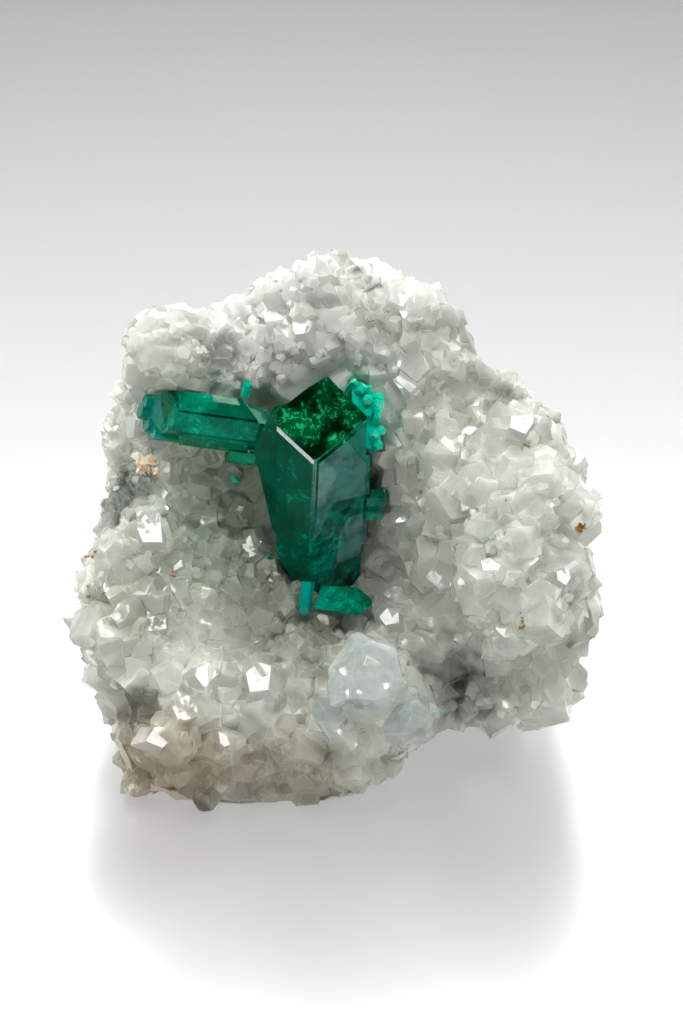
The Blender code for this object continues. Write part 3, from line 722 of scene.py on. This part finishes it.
def dioptase(name, clearness, glint, colours, flake_mm, crowd=0.54, density=ABSORPTION):
    """Clear dioptase full of healed cracks: dark where it is clear, with bright flakes that are painted glints
    of cracks that mirror light.
    """
    dark, middle, bright = [linear(colour) for colour in colours]
    finish = {"Transmission Weight": clearness, "Specular Tint": linear(glint)}
    made, tree, shader = material(name, {"Roughness": 0.03, "IOR": 1.67, **finish})
    place = add(tree, "TexCoord").outputs["Object"]
    clouds = add(tree, "TexNoise", {"Vector": place, "Scale": 1 / (4 * flake_mm * MM), "Detail": 5.0,
                                    "Roughness": 0.65, "Distortion": 0.4})
    cloudy = add(tree, "MapRange", {0: clouds.outputs["Fac"], 1: 0.40, 2: 0.62}).outputs[0]
    colour = add(tree, "Mix", {0: cloudy, 6: dark, 7: middle}, data_type="RGBA").outputs[2]
    # Small patches of the bright colour: painted glints where healed cracks would mirror light.
    flakes = add(tree, "TexNoise", {"Vector": place, "Scale": 1 / (flake_mm * MM), "Detail": 4.0,
                                    "Roughness": 0.8, "Distortion": 0.5})
    painted_glints = add(tree, "MapRange", {0: flakes.outputs["Fac"], 1: crowd, 2: crowd + FLAKE_EDGE}).outputs[0]
    painted_glints = add(tree, "Math", {0: painted_glints, 1: cloudy}, operation="MULTIPLY").outputs[0]
    colour = add(tree, "Mix", {0: painted_glints, 6: colour, 7: bright}, data_type="RGBA").outputs[2]
    tree.links.new(colour, shader.inputs["Base Color"])
    steps = add(tree, "TexNoise", {"Vector": place, "Scale": 1 / (STEP_SIZE * MM), "Detail": 4.0})
    ripple = add(tree, "Bump", {"Height": steps.outputs["Fac"], "Distance": STEP_DEPTH * MM})
    tree.links.new(ripple.outputs[0], shader.inputs["Normal"])
    depth = add(tree, "VolumeAbsorption", {"Color": DEPTH_COLOUR, "Density": density})
    tree.links.new(depth.outputs[0], tree.nodes["Material Output"].inputs["Volume"])
    return made


# Each coat: how clear, the colour of its glint, its depths, its body and its flakes, and their size in
# millimetres. The bright flakes are painted glints of healed cracks. Etched faces look like frosted dark glass,
# clear ones nearly black with sharp painted flashes, plated ones like green wax under glass, and flaky_green
# glitters with painted bright green chips on black.
etched_green = dioptase("etched_green_dioptase", 0.6, "277c61", ("005038", "008b69", "00bc95"), 1.6)
clear_green = dioptase("clear_green_dioptase", 0.7, "ffffff", ("003f27", "007c5d", "00e7b3"), 0.9)
plated_green = dioptase("plated_green_dioptase", 0.4, "95cbbc", ("004b38", "009076", "00d3ad"), 0.8)
flaky_green = dioptase("flaky_green_dioptase", 0.35, "ffffff", ("001d0a", "006c3c", "27e78e"), 0.9,
                       crowd=0.52)
# The lying crystal is a brighter green, thin blades are lighter still, and the smallest crystals, so thin
# that little colour is left in them, look like turquoise enamel.
lying_green = dioptase("bright_green_dioptase", 0.5, "30957c", ("00694b", "00ad86", "00e7bc"), 1.5)
blade_green = dioptase("thin_green_dioptase", 0.5, "aadacb", ("00694b", "00a281", "00e1bc"), 1.0)
thin_green = dioptase("thin_turquoise_dioptase", 0.12, "ffffff", ("00cead", "00f3ce", "bcfff3"), 0.7,
                      crowd=0.6, density=200.0)
spike_green = dioptase("blue_green_dioptase", 0.4, "aadacb", ("009586", "00ad9e", "00dacb"), 0.9,
                       crowd=0.6, density=300.0)

# Thin frosted growth plates and patches on the large faces, partly painted light: the grey-teal plates on the
# standing crystal's right face are painted reflections of a softbox, the lying crystal's lower face is painted
# lighter, and the whitish patch on its ledge is a painted highlight. Coat, colour, strength, and corners in the
# picture.
PLATES_AND_PAINTED_LIGHT = (
    (plated_green, "18a08c", 0.85, ((347, 440), (372, 420), (374, 468), (364, 461))),
    (plated_green, "5f9a96", 0.85, ((315, 464), (347, 440), (366, 463), (371, 494), (350, 499), (313, 508))),
    (plated_green, "508e8a", 0.75, ((313, 507), (351, 498), (318, 536), (312, 548))),
    (plated_green, "74a09e", 0.85, ((350, 517), (369, 511), (366, 553), (336, 564), (340, 530))),
    (lying_green, "12a898", 0.75, ((134, 390), (160, 390), (167, 443), (148, 446), (134, 420))),
    (lying_green, "0f9c62", 0.7, ((166, 430), (258, 449), (257, 466), (160, 448))),
    (lying_green, "a8dcc0", 0.85, ((211, 392), (236, 396), (241, 406), (213, 402))),
)
PLATE_EDGE = 0.12
PLATE_PATCH_SIZE = 2.2
# Each plate mixes its colour, painted light for most of them, into the coat's base colour within its corners.
for coat, colour, strength, corners in PLATES_AND_PAINTED_LIGHT:
    tree = coat.node_tree
    shader = tree.nodes["Principled BSDF"]
    place = tree.nodes["Texture Coordinate"].outputs["Object"]
    eye, mask = camera.matrix_world.translation, None
    ends = [on_face(px, py) for px, py in corners]
    for here, there in zip(ends, ends[1:] + ends[:1]):
        inward = (here - eye).cross(there - eye).normalized()
        offset = add(tree, "VectorMath", {0: place, 1: inward}, operation="DOT_PRODUCT").outputs["Value"]
        edge = inward.dot(eye)
        side = add(tree, "MapRange", {0: offset, 1: edge, 2: edge + PLATE_EDGE * MM}).outputs[0]
        if mask is not None:
            side = add(tree, "Math", {0: mask, 1: side}, operation="MULTIPLY").outputs[0]
        mask = side
    # The painted colour comes and goes in patches across each plate.
    plate_patches = add(tree, "TexNoise", {"Vector": place, "Scale": 1 / (PLATE_PATCH_SIZE * MM), "Detail": 5.0,
                                  "Roughness": 0.65})
    patched = {0: plate_patches.outputs["Fac"], 1: 0.38, 2: 0.6, 3: 0.3 * strength, 4: strength}
    patched = add(tree, "MapRange", patched).outputs[0]
    mask = add(tree, "Math", {0: mask, 1: patched}, operation="MULTIPLY").outputs[0]
    under = shader.inputs["Base Color"].links[0].from_socket
    mixed = add(tree, "Mix", {0: mask, 6: under, 7: linear(colour)}, data_type="RGBA").outputs[2]
    tree.links.new(mixed, shader.inputs["Base Color"])

COATS = {
    "dioptase_lying_crystal": lying_green,
    "dioptase_lying_stub": lying_green,
    "dioptase_foot_blade": blade_green,
    "dioptase_right_stub": blade_green,
    "dioptase_foot_spike": spike_green,
}
for name in GREEN:
    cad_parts[name].data.materials.clear()
    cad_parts[name].data.materials.append(COATS.get(name, thin_green))
# A face of the standing crystal takes its coat by the way it looks, within this cosine. The rest are etched.
FACINGS = {
    clear_green: (Vector((-0.252, -0.946, 0.203)), 0.985),
    plated_green: (Vector((0.480, -0.861, -0.169)), 0.95),
    flaky_green: (Vector((0, -0.866, 0.5)), 0.985),
}
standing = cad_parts["dioptase_standing_crystal"].data
standing.materials.clear()
for coat in (etched_green, *FACINGS):
    standing.materials.append(coat)
for face in standing.polygons:
    for slot, (facing, least) in enumerate(FACINGS.values(), start=1):
        if face.normal.dot(facing) > least:
            face.material_index = slot


# Loose grains on the quartz: small turquoise dioptase crystals, and specks of iron oxide, some of them in a
# cream-coloured crust. Each grain is a chipped solid half sunk in the druse.
CHIP_CUTS = 11
CHIP_BLANK = 4


def chip_template(rng):
    """One chip with a radius of 1, cut by random planes."""
    planes = []
    for _ in range(CHIP_CUTS):
        planes.append(((rng.gauss(0, 1), rng.gauss(0, 1), rng.gauss(0, 1)), rng.uniform(0.6, 1.0)))
    return shape_of(cut_solid(planes, CHIP_BLANK))


CHIP_SHAPES = [chip_template(rng) for _ in range(10)]
# Where each group of grains is in the picture, how many, spread and largest radius in millimetres.
GREEN_GRAINS = (
    (268, 377, 1, 0.0, 0.22), (236, 479, 2, 0.3, 0.42), (266, 555, 2, 0.4, 0.38), (407, 527, 1, 0.0, 0.25),
    (443, 702, 3, 0.5, 0.3),
)
RUST_GRAINS = (
    (169, 499, 3, 0.25, 0.2), (91, 554, 4, 0.4, 0.25), (175, 574, 4, 0.25, 0.22), (94, 597, 5, 0.6, 0.22),
    (245, 609, 2, 0.2, 0.25), (527, 444, 5, 0.3, 0.2), (508, 501, 4, 0.3, 0.17), (493, 537, 2, 0.2, 0.17),
    (582, 528, 4, 0.3, 0.35), (523, 616, 3, 0.3, 0.18), (521, 626, 4, 0.25, 0.3),
)
CREAM_GRAINS = ((146, 465, 40, 0.5, 0.6), (97, 587, 4, 0.4, 0.25))
LEAST_GRAIN = 0.5  # of the largest
skin_tree = BVHTree.FromPolygons([v.co for v in united.vertices], [list(f.vertices) for f in united.polygons])


def grains(name, groups, flat, coat):
    """A piece of chips, scattered round each place on the skin that the camera sees there."""
    places = []
    for px, py, count, spread, largest in groups:
        for _ in range(count):
            x, y = px + rng.gauss(0, spread) / VIEW_SCALE, py + rng.gauss(0, spread) / VIEW_SCALE
            seen = seen_at(x, y, [skin_tree])
            radius = largest * rng.uniform(LEAST_GRAIN, 1.0) * MM
            if seen is not None:
                turn = Euler([rng.uniform(0, math.tau) for _ in range(3)]).to_quaternion()
                chip = rng.randrange(len(CHIP_SHAPES))
                places.append((chip, seen[0] - seen[1] * flat * radius, turn, radius))
    corners, triangles = merged(CHIP_SHAPES, places)
    mesh = bpy.data.meshes.new(name)
    mesh.from_pydata(corners.tolist(), [], triangles.tolist())
    mesh.materials.append(coat)
    piece = bpy.data.objects.new(name, mesh)
    bpy.context.scene.collection.objects.link(piece)
    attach(piece, "root")
    return piece


# Iron oxide is earthy and matt, in browns that change from grain to grain.
RUST_BLOTCH = 0.5
rust, tree, shader = material("earthy_iron_oxide", {"Roughness": 0.85})
place = add(tree, "TexCoord").outputs["Object"]
blotch = add(tree, "TexNoise", {"Vector": place, "Scale": 1 / (RUST_BLOTCH * MM)}).outputs["Fac"]
tone = add(tree, "Mix", {0: blotch, 6: linear("5a3814"), 7: linear("b37c30")}, data_type="RGBA")
tree.links.new(tone.outputs[2], shader.inputs["Base Color"])
# The crust is chalky, cream with rusty blotches.
CRUST_BLOTCH = 0.9
cream, tree, shader = material("cream_iron_stained_crust", {"Roughness": 0.7})
place = add(tree, "TexCoord").outputs["Object"]
blotch = add(tree, "TexNoise", {"Vector": place, "Scale": 1 / (CRUST_BLOTCH * MM)}).outputs["Fac"]
stained = add(tree, "MapRange", {0: blotch, 1: 0.47, 2: 0.65}).outputs[0]
tone = add(tree, "Mix", {0: stained, 6: linear("e2dac6"), 7: linear("cf9c58")}, data_type="RGBA")
tree.links.new(tone.outputs[2], shader.inputs["Base Color"])
grains("dioptase_grains", GREEN_GRAINS, 0.2, thin_green)
grains("rust_grains", RUST_GRAINS, 0.3, rust)
grains("cream_grains", CREAM_GRAINS, 0.6, cream)
